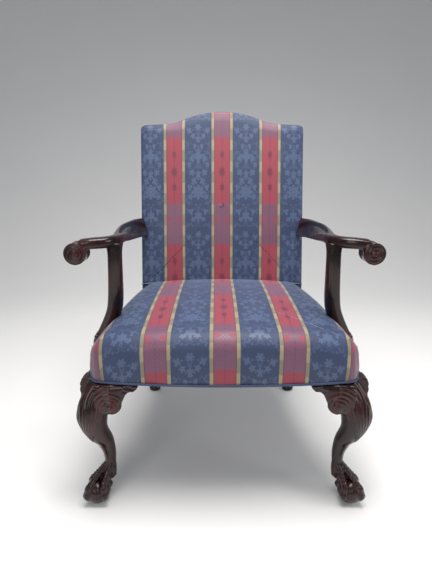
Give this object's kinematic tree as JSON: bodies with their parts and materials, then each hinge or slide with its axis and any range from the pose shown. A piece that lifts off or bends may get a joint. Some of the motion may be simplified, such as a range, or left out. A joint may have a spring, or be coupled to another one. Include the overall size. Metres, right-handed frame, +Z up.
{
  "type": "upholstered armchair",
  "caption": "Open armchair with camel-back upholstered back, sprung seat, scrolled wooden arms and carved cabriole front legs on claw-and-ball feet.",
  "frame": {"origin": "on the floor, under the middle of the chair's overall box", "axes": "+Z up, -Y the way the chair faces, +X to the right of a person looking at its front"},
  "size_m": [0.772, 0.7238, 1.0343],
  "materials": {
    "mahogany": "dark stained and carved mahogany under a polished gloss lacquer",
    "beech": "plain sawn beech of the hidden frame blocks, unfinished",
    "striped_damask": "woven satin damask, blue ground with crimson and straw stripes",
    "blue_piping": "cloth-covered piping cord in the cover's blue",
    "padding": "foam and cotton wadding",
    "hessian": "coarse open-weave hessian and jute webbing",
    "dust_cloth": "thin black bottoming cloth",
    "spring_steel": "oiled spring wire and pressed clips",
    "screw_steel": "zinc plated wood screws",
    "blued_steel": "blued upholstery tacks"
  },
  "bodies": {
    "root": {"front_leg_left": "mahogany", "rear_leg_left": "mahogany", "front_ear_left": "mahogany", "side_ear_left": "mahogany", "arm_left": "mahogany", "arm_support_left": "mahogany", "side_rail_left": "beech", "front_corner_block_left": "beech", "rear_corner_block_left": "beech", "front_leg_right": "mahogany", "rear_leg_right": "mahogany", "front_ear_right": "mahogany", "side_ear_right": "mahogany", "arm_right": "mahogany", "arm_support_right": "mahogany", "side_rail_right": "beech", "front_corner_block_right": "beech", "rear_corner_block_right": "beech", "front_rail": "beech", "rear_rail": "beech", "crest_rail": "beech", "stay_rail": "beech", "seat_spring_1": "spring_steel", "seat_spring_2": "spring_steel", "seat_spring_3": "spring_steel", "seat_spring_4": "spring_steel", "seat_spring_5": "spring_steel", "spring_clips": "spring_steel", "seat_hessian": "hessian", "back_hessian": "hessian", "back_webbing_upright": "hessian", "back_webbing_crosswise": "hessian", "seat_pad": "padding", "back_pad": "padding", "seat_cover": "striped_damask", "back_cover": "striped_damask", "outside_back": "striped_damask", "seat_welt": "blue_piping", "back_welt": "blue_piping", "dust_cover": "dust_cloth", "corner_block_screws": "screw_steel", "arm_screws": "screw_steel", "arm_support_screws": "screw_steel", "dust_cover_tacks": "blued_steel"}
  },
  "joints": []
}
